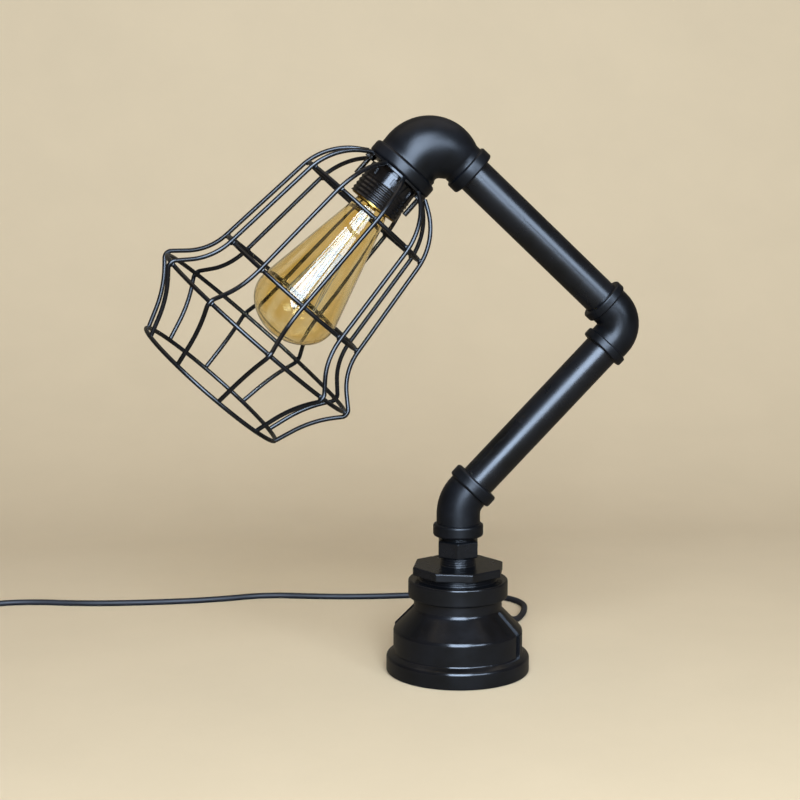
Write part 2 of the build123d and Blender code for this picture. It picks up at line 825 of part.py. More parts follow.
def coil_path():
    """Coil of half turns: the upper layer spirals in, the middle turn steps down, the lower spirals out."""
    heading = Vector(0, -1, 0)
    point = Vector(switch_x, coil_y, coil_high_z)
    edges = [Line((switch_x, switch_low_y, coil_high_z), point)]
    for half in range(2 * coil_halves + 1):
        radius = coil_first_r - min(half, 2 * coil_halves - half) * coil_pitch / 2
        side = -1 if half % 2 == 0 else 1
        drop = coil_pitch if half == coil_halves else 0
        end = point + Vector(2 * side * radius, 0, -drop)
        middle = (point + end) / 2 + heading * ((end - point).length / 2)
        edges.append(TangentArc(point, middle, tangent=heading))
        edges.append(TangentArc(middle, end, tangent=end - point))
        heading = heading * -1
        point = end
    edges.append(Line(point, point + heading * (2 * cord_r)))
    return Wire(edges)


def least_self_gap(path):
    """Smallest distance between the surfaces of two stretches of a tube that aren't neighbours."""
    count = round(path.length / cord_r)
    points = [path.position_at(number / count) for number in range(count + 1)]
    apart = round(8 * cord_r / (path.length / count))
    return min((a - b).length for place, a in enumerate(points) for b in points[place + apart:]) - 2 * cord_r


cord_points = [(exit_frame * Pos(0, 0, relief_tip + run)).position for run in (0, cord_lead)]
cord_points += cord_fall + [(x, y, cord_r) for x, y in cord_floor]
cord_points += [(switch_x, switch_y + run, coil_high_z) for run in (cord_rise_run, 0)]
pieces["cord_free"] = cord_tube("cord_free", cord_points)
coil_line = coil_path()
coil_end = coil_line.position_at(1)
pieces["cord_coil"] = tube_along(coil_line, cord_r)
print("cord_coil length", round(coil_line.length, 1), "least self gap", round(least_self_gap(coil_line), 3),
      "volume over section times length",
      round(pieces["cord_coil"].volume / (pi * cord_r ** 2 * coil_line.length), 4))


def cord_tie():
    """Flat band round the coil's three strands and two layers."""
    strands = coil_halves // 2
    near = coil_first_r + cord_r + tie_gap
    far = coil_first_r - strands * coil_pitch - cord_r - tie_gap
    low = coil_low_z - cord_r - seat_gap
    high = coil_high_z + cord_r + seat_gap
    outer = Box(tie_w, near - far + 2 * tie_t, high - low + 2 * tie_t)
    outer = fillet(outer.edges().filter_by(Axis.X), tie_t)
    band = outer - Box(tie_w + overrun, near - far, high - low)
    middle_x = switch_x - coil_first_r - coil_pitch / 2
    return Pos(middle_x, coil_y - (near + far) / 2, (low + high) / 2) * band


plug_x = coil_end.X + tail_shift
plug_y = coil_y + tail_end_y + plug_lead
plug_z = plug_t / 2
tail = [
    coil_end, (coil_end.X, coil_y + tail_start_y, coil_end.Z), (plug_x, coil_y + tail_end_y, plug_z),
    (plug_x, plug_y, plug_z)]
pieces["cord_tie"] = cord_tie()
pieces["cord_tail"] = cord_tube("cord_tail", tail)


def plug_body():
    """Flat two-pin plug along Y: tapered sleeve, widening body, square face with two pin holes."""
    sleeve = turned([(0, 0), (plug_sleeve_tip_r, 0), (plug_sleeve_r, plug_sleeve_h), (0, plug_sleeve_h)])
    neck = Pos(0, 0, plug_sleeve_h) * RectangleRounded(plug_neck_w, plug_neck_t, plug_round)
    wide = RectangleRounded(plug_w, plug_t, plug_round)
    body_z = plug_sleeve_h + plug_taper_h
    body = sleeve + loft([neck, Pos(0, 0, body_z) * wide]) + Pos(0, 0, body_z) * extrude(wide, plug_face_h)
    face = body_z + plug_face_h
    for side in (-1, 1):
        hole = rod(pin_round_r + thread_fit, face - plug_pin_hold - seat_gap, face + overrun)
        body -= Pos(side * plug_pin_space / 2, 0, 0) * hole
    return body


def plug_pin():
    """Round pin with a rounded end."""
    face = plug_sleeve_h + plug_taper_h + plug_face_h
    return turned([(0, face - plug_pin_hold), (pin_round_r, face - plug_pin_hold),
                   (pin_round_r, face + plug_pin_out, pin_round_r / 2), (0, face + plug_pin_out)])


plug_seat = Plane(origin=(plug_x, plug_y, plug_z), x_dir=(1, 0, 0), z_dir=(0, 1, 0)).location
pieces["plug_body"] = plug_seat * plug_body()
pieces["plug_pins"] = Part() + [
    plug_seat * Pos(side * plug_pin_space / 2, 0, 0) * plug_pin() for side in (-1, 1)]

# Inline switch about its own middle on the floor, with its length along Y
switch_seat = Pos(switch_x, switch_y - switch_l / 2, 0)
switch_room_l = switch_l - 2 * switch_end
pivot_z = switch_h - pivot_drop
pin_l = window_w + 2 * pin_hold
rocker_l = window_l - 2 * rocker_end_gap
rocker_w = window_w - 2 * rocker_gap
screw_places = [Pos(0, side * (switch_l / 2 - switch_screw_inset), 0) for side in (-1, 1)]


def switch_half():
    """Outside block of one half of the switch."""
    return extrude(RectangleRounded(switch_w, switch_l, switch_corner), switch_h / 2)


def switch_room():
    """Hollow in the middle of the switch."""
    size = (switch_w - 2 * switch_wall, switch_room_l, switch_h - 2 * switch_wall)
    return Pos(0, 0, switch_h / 2) * Box(*size)


def switch_base():
    """Lower half with sunk holes for the screws."""
    block = switch_half()
    block = chamfer(block.edges().group_by(Axis.Z)[0], switch_chamfer / 2) - switch_room()
    sink = 2 * switch_screw_head_h
    for place in screw_places:
        block -= place * rod(switch_screw_r + thread_fit, -overrun, switch_h)
        block -= place * rod(switch_screw_head_r + thread_fit, -overrun, sink)
    return block


def switch_cover():
    """Upper half with the rocker's window and a cheek on each side for the pivot pin."""
    block = switch_half()
    block = Pos(0, 0, switch_h / 2) * chamfer(block.edges().group_by(Axis.Z)[-1], switch_chamfer)
    block -= switch_room()
    block -= Pos(0, 0, switch_h) * Box(window_w, window_l, 2 * switch_h)
    for side in (-1, 1):
        thick = (pin_l - window_w) / 2 + switch_wall
        middle = side * (window_w + thick) / 2
        block += Pos(middle, 0, switch_h - switch_wall - cheek_h / 2) * Box(thick, cheek_l, cheek_h)
    pin_end = pin_l / 2 + seat_gap
    block -= Pos(0, 0, pivot_z) * Rot(0, quarter, 0) * rod(pin_r + thread_fit, -pin_end, pin_end)
    screw_end = switch_screw_head_h + switch_screw_l + seat_gap
    for place in screw_places:
        block -= place * rod(switch_screw_r + thread_fit, 0, screw_end)
    return block


def switch_rocker():
    """Rocker with a dished top, tipped to its off side about the pivot pin."""
    half = rocker_l / 2
    foot = rocker_low_l / 2
    outline = make_face(Polyline(
        (0, -half, rocker_top_h), (0, -half, rocker_side_h), (0, -foot, -rocker_low_h),
        (0, foot, -rocker_low_h), (0, half, rocker_side_h), (0, half, rocker_top_h),
        (0, 0, rocker_top_h - rocker_dip), close=True))
    block = extrude(outline, rocker_w / 2, both=True)
    block -= Rot(0, quarter, 0) * rod(pin_r + thread_fit, -rocker_w, rocker_w)
    return Pos(0, 0, pivot_z) * Rot(rocker_tilt, 0, 0) * block


def switch_screw():
    """Screw from below through both halves."""
    head_low = switch_screw_head_h
    head_high = 2 * switch_screw_head_h
    head = rod(switch_screw_head_r, head_low, head_high)
    return head + rod(switch_screw_r, head_high, head_low + switch_screw_l)


def switch_blade():
    """Fixed brass contact on the floor of the lower half."""
    return Pos(0, 0, switch_wall + blade_h / 2) * Box(blade_w, blade_t, blade_h)


pieces["switch_base"] = switch_seat * switch_base()
pieces["switch_cover"] = switch_seat * switch_cover()
pieces["switch_rocker"] = switch_seat * switch_rocker()
pivot = Pos(0, 0, pivot_z) * Rot(0, quarter, 0)
pieces["switch_pin"] = switch_seat * pivot * rod(pin_r, -pin_l / 2, pin_l / 2)
pieces["switch_screws"] = Part() + [switch_seat * place * switch_screw() for place in screw_places]
pieces["switch_contacts"] = Part() + [
    switch_seat * Pos(0, side * blade_y, 0) * switch_blade() for side in (-1, 1)]

os.makedirs("parts", exist_ok=True)
for name, piece in pieces.items():
    export_step(piece, f"parts/{name}.step")
print(len(pieces), "pieces")
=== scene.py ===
"""Cage table lamp: finishes, the head's smooth shell, the cord, the weld beads and the studio round it.

Lengths are in metres unless a name ends in _mm or _MM. The origin is the middle of the base's underside,
+Z is up and the arms lie in the XZ plane.
"""

import math

import bpy
import numpy as np
from bpy.props import FloatProperty, FloatVectorProperty, IntProperty, PointerProperty
from mathutils import Matrix, Vector


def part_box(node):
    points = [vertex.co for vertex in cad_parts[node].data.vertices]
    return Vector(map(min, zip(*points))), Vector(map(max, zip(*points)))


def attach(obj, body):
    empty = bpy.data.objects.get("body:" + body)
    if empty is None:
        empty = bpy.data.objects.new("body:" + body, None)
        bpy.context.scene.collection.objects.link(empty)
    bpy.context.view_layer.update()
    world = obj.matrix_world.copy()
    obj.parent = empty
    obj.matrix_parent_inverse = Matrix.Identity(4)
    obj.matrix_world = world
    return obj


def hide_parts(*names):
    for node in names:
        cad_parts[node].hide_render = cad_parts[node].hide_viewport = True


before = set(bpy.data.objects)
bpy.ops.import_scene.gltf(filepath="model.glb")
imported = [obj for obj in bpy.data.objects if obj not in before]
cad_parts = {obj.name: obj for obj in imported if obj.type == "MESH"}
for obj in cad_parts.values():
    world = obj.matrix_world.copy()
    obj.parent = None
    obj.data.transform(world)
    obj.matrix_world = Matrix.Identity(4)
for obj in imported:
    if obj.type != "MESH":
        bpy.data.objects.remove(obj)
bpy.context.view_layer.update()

bl_info = {
    "name": "Cage Table Lamp",
    "version": (1, 0, 0),
    "blender": (4, 5, 0),
    "location": "3D View > Sidebar > Lamp",
    "description": "Dresses a pipe-fitting table lamp with a wire cage and lays its cord",
    "category": "Object",
}

# The cord's route from the strain relief to the inline switch.
FLEX_ROUTE = [
    (0.03439, 0.06468, 0.024), (0.04284, 0.08057, 0.024), (0.054, 0.103, 0.011), (0.066, 0.122, 0.0025),
    (0.0775, 0.148, 0.0025), (0.0825, 0.178, 0.0025), (0.066, 0.202, 0.0025), (0.035, 0.2085, 0.0025),
    (0.0, 0.2135, 0.0025), (-0.05, 0.2125, 0.0025), (-0.092, 0.217, 0.0025), (-0.138, 0.228, 0.0025),
    (-0.185, 0.2155, 0.0025), (-0.24, 0.212, 0.0025), (-0.296, 0.214, 0.0025), (-0.346, 0.226, 0.0025),
    (-0.386, 0.219, 0.0025), (-0.408, 0.192, 0.0025), (-0.412, 0.16, 0.0091), (-0.412, 0.138, 0.0091)]

# The put-away coil: a chain of half turns that spirals in above, steps down and spirals out below.
COIL_START = (-0.412, 0.04, 0.0091)
COIL_LEAD_YS = (0.076, 0.055)
COIL_FIRST_R = 0.0346
COIL_PITCH = 0.0055
COIL_HALVES = 5
COIL_POINTS_PER_HALF = 8
TAIL_RUNS = [(0.0, 0.022, 0.0), (-0.005, 0.042, 0.0034), (-0.005, 0.06, 0.0034)]

# The head elbow's corner and turn, as angles from straight up in the plane of the arms.
HEAD_CORNER = np.array((-0.017537, 0.0, 0.398581))
HEAD_START = math.radians(-46.5)
HEAD_TURN = math.radians(91.5)

# The bulb's axis leans out of the cage's.
BULB_ANGLE = math.radians(-141.9)

# The ribs stand evenly round the cage, whose axis is the head elbow's second end.
RIB_COUNT = 10
RIB_FIRST_ANGLE = math.radians(12.0)
RING_COUNT = 4
RIBS = [f"cage_rib_{number}" for number in range(1, RIB_COUNT + 1)]
RINGS = [f"cage_ring_{number}" for number in range(1, RING_COUNT + 1)]

# A weld bead's thickness as a share of its length.
BEAD_FLATNESS = 0.4

# Steps round the head elbow, along its turn and along each round of its bands, and its sharpest smooth edge.
HEAD_AROUND = 128
HEAD_TURN_STEPS = 64
BAND_STEPS = 8
HEAD_SMOOTH = math.radians(40)

# The tie: steps round the coil and round its own section, and how square its loop, width and edges are.
TIE_STEPS = (96, 24)
TIE_LOOP_POWER = 0.4
TIE_WIDTH_POWER = 0.25
TIE_EDGE_POWER = 0.5

# Noise levels between which a patch goes from dark to light, and from its lower to its higher roughness.
PATCH_TINT = (0.35, 0.68)
PATCH_ROUGH = (0.3, 0.7)

# Gloss of the black paints, of bare metal and of the glasses, on top of the shader's own settings.
CAST_PAINT = {"IOR": 1.43}
LACQUER = {"IOR": 1.6}
METAL = {"Metallic": 1.0}
BULB_GLASS = {"Transmission Weight": 1.0, "IOR": 1.5}
LEAD_GLASS = {"Transmission Weight": 1.0, "IOR": 1.55}

# Chips in the foot's paint: the height they reach, their size, and the noise above which a spot is bare.
CHIP_HEIGHT = 0.004
CHIP_MM = 3.5
CHIP_BIAS = (0.08, -0.3)
CHIP_EDGE = (0.7, 0.72)

# The tall window's panes: columns, and the middle and height of each row, in its own plane.
PANE_COLUMNS = (-1, 0, 1, 2)
PANE_ROWS = ((-0.31, 1.62), (0.83, 0.58))
PANE_SPACING = 0.345
PANE_WIDTH = 0.325

# Where each light hangs: turn to the right of the front and rise, both in degrees, and distance.
WINDOW_SPOT = (-8.0, 25.0, 2.2)
SIDE_SPOT = (30.0, 19.0, 2.4)
CEILING_SPOT = (180.0, 65.0, 2.6)
LIT_POINT = Vector((0, 0, 0.25))
SIDE_SIZE = (1.0, 1.0)
CEILING_SIZE = (4.0, 4.0)
DAYLIGHT = "CCE2FF"
WARM_WHITE = "FFF0DC"

# The sweep: bend radius, front edge, start of the bend, top edge, half width, and steps round and across it.
SWEEP_BEND = 0.9
SWEEP_FRONT = -2.6
SWEEP_BACK = 0.45
SWEEP_TOP = 3.0
SWEEP_HALF_WIDTH = 3.5
SWEEP_BEND_STEPS = 16
SWEEP_ACROSS_STEPS = 8

# To the camera the sweep fades out between these distances to a side, and this many times nearer in front.
FADE_START = 1.0
FADE_END = 2.0
FADE_FRONT = 2.5


def linear(hex_colour):
    """Linear red, green and blue of an sRGB hex colour."""
    srgb = np.array([int(hex_colour[place:place + 2], 16) for place in (0, 2, 4)]) / 255
    return tuple(np.where(srgb <= 0.04045, srgb / 12.92, ((srgb + 0.055) / 1.055) ** 2.4))


class LampStage(bpy.types.PropertyGroup):
    """Camera, floor and lights."""

    camera_place: FloatVectorProperty(
        name="Camera place", description="Where the camera stands", default=(-0.17365, -1.25771, 0.39),
        subtype="TRANSLATION", unit="LENGTH")
    camera_aim: FloatVectorProperty(
        name="Camera aim", description="Direction the camera looks in", default=(0.10157, 0.98448, -0.14311),
        subtype="DIRECTION")
    camera_lens: FloatProperty(
        name="Lens", description="Focal length on a 36 mm sensor", default=77.74, unit="CAMERA")
    floor_colour: FloatVectorProperty(
        name="Floor", description="Colour of the floor and backdrop", default=linear("E3C69C"),
        subtype="COLOR")
    floor_bounce: FloatProperty(
        name="Floor bounce", description="Share of the floor's colour that reflections and bounced light see",
        default=0.22)
    window_glow: FloatProperty(
        name="Window glow", description="Brightness of the tall window's panes, 1 being white", default=11.5)
    side_glow: FloatProperty(
        name="Side glow", description="Brightness of the window on the right", default=7.0)
    ceiling_glow: FloatProperty(
        name="Ceiling glow", description="Brightness of the ceiling behind the lamp", default=0.33)
    room_glow: FloatProperty(name="Room glow", description="Brightness of the rest of the room", default=0.12)
    backdrop_glow: FloatProperty(
        name="Backdrop glow", description="Brightness of the room to the camera, past the sweep", default=0.8)


class LampCord(bpy.types.PropertyGroup):
    """Cord and tie."""

    diameter: FloatProperty(
        name="Flex diameter", description="Outside of the round flex", default=0.005, unit="LENGTH")
    tie_width: FloatProperty(
        name="Tie width", description="Width of the strip round the coil", default=0.006, unit="LENGTH")
    tie_thickness: FloatProperty(
        name="Tie thickness", description="Thickness of the strip", default=0.0008, unit="LENGTH")


class LampHead(bpy.types.PropertyGroup):
    """Sizes of the reducing elbow at the head."""

    reach: FloatProperty(name="Reach", description="Corner to either mouth", default=0.038, unit="LENGTH")
    bend: FloatProperty(name="Bend", description="Radius of the turn", default=0.0245, unit="LENGTH")
    swell: FloatProperty(
        name="Swell", description="Share by which the turn stands out at its middle", default=0.1)
    out: FloatProperty(
        name="Offset", description="How far the large end stands out from the turn", default=0.0036,
        unit="LENGTH")
    widen_power: FloatProperty(
        name="Widening", description="How early the body widens in the turn", default=2.4)
    neck: FloatVectorProperty(
        name="Small end", description="Body radius, band radius and band width",
        default=(0.0165, 0.0185, 0.009), unit="LENGTH")
    mouth: FloatVectorProperty(
        name="Large end", description="Body radius, band radius and band width",
        default=(0.024, 0.027, 0.01), unit="LENGTH")
    band_round: FloatProperty(
        name="Band round", description="Share of a band's height that is rounded", default=0.8)
    wall: FloatProperty(name="Wall", description="Thickness of the casting", default=0.003, unit="LENGTH")


class LampFinish(bpy.types.PropertyGroup):
    """Colours of the visible finishes."""

    paint: FloatVectorProperty(
        name="Black paint", description="Satin paint on the fittings", default=linear("070809"),
        subtype="COLOR")
    paint_worn: FloatVectorProperty(
        name="Worn paint", description="Paint rubbed thin", default=linear("0F1013"), subtype="COLOR")
    bare_iron: FloatVectorProperty(
        name="Bare iron", description="Iron under chipped paint", default=linear("B9B4AA"), subtype="COLOR")
    amber: FloatVectorProperty(
        name="Amber glass", description="Tint of the bulb", default=linear("F8F3E0"), subtype="COLOR")
    amber_deep: FloatVectorProperty(
        name="Deep amber", description="Tint of the bulb's streaks", default=linear("EFDCA4"),
        subtype="COLOR")
    weld_bead: FloatProperty(
        name="Weld bead", description="Half length of a weld bead", default=0.0026, unit="LENGTH")
    weld_rings: IntProperty(name="Weld detail", description="Rings of faces on a bead", default=8)


def add_node(material, kind, links=None, stops=None, **settings):
    """Add a shader node, set its properties and ramp stops, and set or link its inputs by name or place."""
    node = material.node_tree.nodes.new(kind)
    for name, value in settings.items():
        setattr(node, name, value)
    for name, value in (links or {}).items():
        if isinstance(value, bpy.types.NodeSocket):
            material.node_tree.links.new(value, node.inputs[name])
        else:
            node.inputs[name].default_value = value
    for element, (position, colour) in zip(node.color_ramp.elements if stops else (), stops or ()):
        element.position = position
        element.color = (*colour, 1.0)
    return node


def wire(material, source, target):
    """Join two sockets of a material."""
    material.node_tree.links.new(source, target)


def per_mm(size_mm):
    """Texture scale whose features are about size_mm across, on coordinates in metres."""
    return 1000.0 / size_mm


def surface(name, dark, light, patch_mm, rough, grain_mm, grain_depth_mm, sockets=None, drawn=None,
            edge_mm=None):
    """Material from object coordinates: patches drive colour and roughness, a fine grain drives the bump.

    Where drawn gives an angle in the plane of the arms and a factor, the patches are drawn out along it.
    An edge radius lets the finish that rounds off sharp edges catch the light.
    """
    material = bpy.data.materials.new(name)
    material.use_nodes = True
    shader = material.node_tree.nodes["Principled BSDF"]
    place = add_node(material, "ShaderNodeTexCoord").outputs["Object"]
    angle, factor = drawn or (0.0, 1.0)
    turned = add_node(material, "ShaderNodeMapping", {
        "Vector": place, "Rotation": (0, angle, 0), "Scale": (1, 1, factor)}, vector_type="TEXTURE")
    patch = add_node(material, "ShaderNodeTexNoise", {
        "Vector": turned.outputs["Vector"], "Scale": per_mm(patch_mm), "Detail": 5.0,
        "Roughness": 0.6}).outputs["Fac"]
    tint = add_node(material, "ShaderNodeValToRGB", {"Fac": patch}, list(zip(PATCH_TINT, (dark, light))))
    shine = add_node(material, "ShaderNodeMapRange", {
        "Value": patch, "From Min": PATCH_ROUGH[0], "From Max": PATCH_ROUGH[1],
        "To Min": rough[0], "To Max": rough[1]})
    grain = add_node(material, "ShaderNodeTexNoise", {
        "Vector": place, "Scale": per_mm(grain_mm), "Detail": 3.0})
    bump = add_node(material, "ShaderNodeBump", {
        "Height": grain.outputs["Fac"], "Distance": grain_depth_mm / 1000.0, "Strength": 1.0})
    if edge_mm:
        edge = add_node(material, "ShaderNodeBevel", {"Radius": edge_mm / 1000.0})
        wire(material, edge.outputs["Normal"], bump.inputs["Normal"])
    wire(material, tint.outputs["Color"], shader.inputs["Base Color"])
    wire(material, shine.outputs["Result"], shader.inputs["Roughness"])
    wire(material, bump.outputs["Normal"], shader.inputs["Normal"])
    for socket, value in (sockets or {}).items():
        shader.inputs[socket].default_value = value
    return material


def chip(material, bare):
    """Flake the finish off in spots near the floor, down to the bare metal."""
    shader = material.node_tree.nodes["Principled BSDF"]
    place = add_node(material, "ShaderNodeTexCoord").outputs["Object"]
    rise = add_node(material, "ShaderNodeSeparateXYZ", {"Vector": place}).outputs["Z"]
    low = add_node(material, "ShaderNodeMapRange", {
        "Value": rise, "From Max": CHIP_HEIGHT, "To Min": CHIP_BIAS[0], "To Max": CHIP_BIAS[1]})
    spots = add_node(material, "ShaderNodeTexNoise", {
        "Vector": place, "Scale": per_mm(CHIP_MM), "Detail": 4.0, "Roughness": 0.65})
    reach = add_node(material, "ShaderNodeMath", {
        0: low.outputs["Result"], 1: spots.outputs["Fac"]}, operation="ADD")
    mask = add_node(material, "ShaderNodeMapRange", {
        "Value": reach.outputs["Value"], "From Min": CHIP_EDGE[0],
        "From Max": CHIP_EDGE[1]}).outputs["Result"]
    finish = shader.inputs["Base Color"].links[0].from_socket
    mixed = add_node(material, "ShaderNodeMixRGB", {"Fac": mask, "Color1": finish, "Color2": (*bare, 1.0)})
    wire(material, mixed.outputs["Color"], shader.inputs["Base Color"])
    wire(material, mask, shader.inputs["Metallic"])


def see_through(material, mask, tint=(1.0, 1.0, 1.0)):
    """Make a material clear, with a tint, where a mask is 1."""
    output = material.node_tree.nodes["Material Output"]
    shader = material.node_tree.nodes["Principled BSDF"]
    clear = add_node(material, "ShaderNodeBsdfTransparent", {"Color": (*tint, 1.0)})
    choose = add_node(material, "ShaderNodeMixShader", {
        0: mask, 1: shader.outputs["BSDF"], 2: clear.outputs["BSDF"]})
    wire(material, choose.outputs["Shader"], output.inputs["Surface"])


def quieten(material, share):
    """Dim a stage surface for all but the camera and what is seen through glass."""
    shader = material.node_tree.nodes["Principled BSDF"]
    path = add_node(material, "ShaderNodeLightPath").outputs
    seen = add_node(material, "ShaderNodeMath", {
        0: path["Is Camera Ray"], 1: path["Is Transmission Ray"]}, operation="MAXIMUM")
    level = add_node(material, "ShaderNodeMapRange", {"Value": seen.outputs["Value"], "To Min": share})
    finish = shader.inputs["Base Color"].links[0].from_socket
    dimmed = add_node(material, "ShaderNodeMixRGB", {
        "Fac": 1.0, "Color1": finish, "Color2": level.outputs["Result"]}, blend_type="MULTIPLY")
    wire(material, dimmed.outputs["Color"], shader.inputs["Base Color"])


def dress(material, *nodes):
    """Give CAD nodes a material in their slots."""
    for name in nodes:
        mesh_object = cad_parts[name]
        if not mesh_object.material_slots:
            mesh_object.data.materials.append(material)
        for holder in mesh_object.material_slots:
            holder.material = material


def add_object(name, data):
    """Link a new object with its data to the scene."""
    made = bpy.data.objects.new(name, data)
    bpy.context.scene.collection.objects.link(made)
    return made


def smooth_mesh(name, points, faces):
    """Smooth-shaded mesh object from points and lists of faces."""
    mesh = bpy.data.meshes.new(name)
    mesh.from_pydata(points.reshape(-1, 3).tolist(), [], faces)
    mesh.shade_smooth()
    return add_object(name, mesh)


def grid_mesh(name, points, close_across=False, close_along=False):
    """Mesh of a grid of points (rows, columns, 3), its last row or column joined to the first on request."""
    rows, columns = points.shape[:2]
    index = np.arange(rows * columns).reshape(rows, columns)
    if close_along:
        index = np.vstack([index, index[:1]])
    if close_across:
        index = np.hstack([index, index[:, :1]])
    faces = np.stack([index[:-1, :-1], index[:-1, 1:], index[1:, 1:], index[1:, :-1]], axis=-1)
    return smooth_mesh(name, points, faces.reshape(-1, 4).tolist())


def bead_mesh(name, centres, axes, rings):
    """Closed ellipsoids: centre + axes . (sin p cos a, sin p sin a, cos p), with one vertex at each pole."""
    polar = np.linspace(0, np.pi, rings + 1)[1:-1, None]
    around = np.linspace(0, 2 * np.pi, 2 * rings, endpoint=False)[None, :]
    belt = np.stack(np.broadcast_arrays(
        np.sin(polar) * np.cos(around), np.sin(polar) * np.sin(around), np.cos(polar)), axis=-1)
    belt = belt.reshape(-1, 3)
    unit = np.vstack([[(0, 0, 1)], belt, [(0, 0, -1)]])
    index = 1 + np.arange(len(belt)).reshape(rings - 1, 2 * rings)
    index = np.hstack([index, index[:, :1]])
    near, far = index[:, :-1], index[:, 1:]
    quads = np.stack([near[:-1], near[1:], far[1:], far[:-1]], axis=-1).reshape(-1, 4)
    top = np.stack([np.zeros_like(near[0]), near[0], far[0]], axis=-1)
    bottom = np.stack([np.full_like(near[0], len(unit) - 1), far[-1], near[-1]], axis=-1)
    shift = len(unit) * np.arange(len(centres))[:, None, None]
    faces = []
    for part in (quads, top, bottom):
        faces += (part + shift).reshape(-1, part.shape[1]).tolist()
    return smooth_mesh(name, centres[:, None, :] + np.einsum("vk,nkj->nvj", unit, axes), faces)


def flex_curve(name, points, diameter):
    """Round flex along one smooth spline that has the route's points as its control points."""
    curve = bpy.data.curves.new(name, "CURVE")
    curve.dimensions = "3D"
    curve.bevel_depth = diameter / 2
    curve.bevel_resolution = 6
    curve.use_fill_caps = True
    spline = curve.splines.new("NURBS")
    spline.points.add(len(points) - 1)
    spline.points.foreach_set("co", np.hstack([points, np.ones((len(points), 1))]).ravel())
    spline.order_u = 3
    spline.use_endpoint_u = True
    spline.resolution_u = 12
    return add_object(name, curve)


def coil_points():
    """Control points and end of the coil: half turns of radius first - pitch / 2 x (steps in), end to end.

    A quadratic spline runs at 3/4 + 1/4 cos(pi / n) of its control points' radius, n being the points in a
    half turn, so the radius is divided by that.
    """
    half = np.arange(2 * COIL_HALVES + 1)
    radius = COIL_FIRST_R - np.minimum(half, 2 * COIL_HALVES - half) * COIL_PITCH / 2
    side = np.where(half % 2 == 0, -1.0, 1.0)
    ends = COIL_START[0] + np.cumsum(2 * side * radius)
    middle = ends - side * radius
    angle = (np.arange(COIL_POINTS_PER_HALF) + 0.5) * np.pi / COIL_POINTS_PER_HALF
    reach = radius[:, None] / (0.75 + 0.25 * np.cos(np.pi / COIL_POINTS_PER_HALF))
    x = middle[:, None] - side[:, None] * reach * np.cos(angle)
    y = COIL_START[1] + side[:, None] * reach * np.sin(angle)
    fall = np.clip(half[:, None] + angle / np.pi - COIL_HALVES, 0, 1)
    z = COIL_START[2] - COIL_PITCH * fall * fall * (3 - 2 * fall)
    end = np.array((ends[-1], COIL_START[1], COIL_START[2] - COIL_PITCH))
    return np.stack([x, y, z], axis=-1).reshape(-1, 3), end


def aim(angle):
    """Directions in the plane of the arms at angles from straight up."""
    angle = np.asarray(angle)
    return np.stack([np.sin(angle), np.zeros_like(angle), np.cos(angle)], axis=-1)


def banded_end(reach, start, body_r, band_r, band_w, round_share):
    """Distance from the corner and radius along a banded end, from its mouth to the turn.

    The band has two convex quarter rounds, and a concave one runs out on the body.
    """
    swing = np.linspace(0, np.pi / 2, BAND_STEPS + 1)
    edge, root = round_share * (band_r - body_r), (1 - round_share) * (band_r - body_r)
    back = reach - band_w
    distance = np.concatenate([
        reach - edge + edge * np.cos(swing), back + edge - edge * np.sin(swing),
        back - root + root * np.cos(swing[1:]), [start]])
    radius = np.concatenate([
        band_r - edge + edge * np.sin(swing), band_r - edge + edge * np.cos(swing),
        body_r + root - root * np.sin(swing[1:]), [body_r]])
    return distance, radius


def rounded(wave, power):
    """A sine or cosine with its swings squared off: sign x size ** power."""
    return np.sign(wave) * np.abs(wave) ** power


def brass():
    """Brass: warm yellow metal, a little tarnished in patches."""
    return surface("brass", linear("B8923E"), linear("E0BC62"), 5.0, (0.18, 0.32), 0.5, 0.006, METAL)


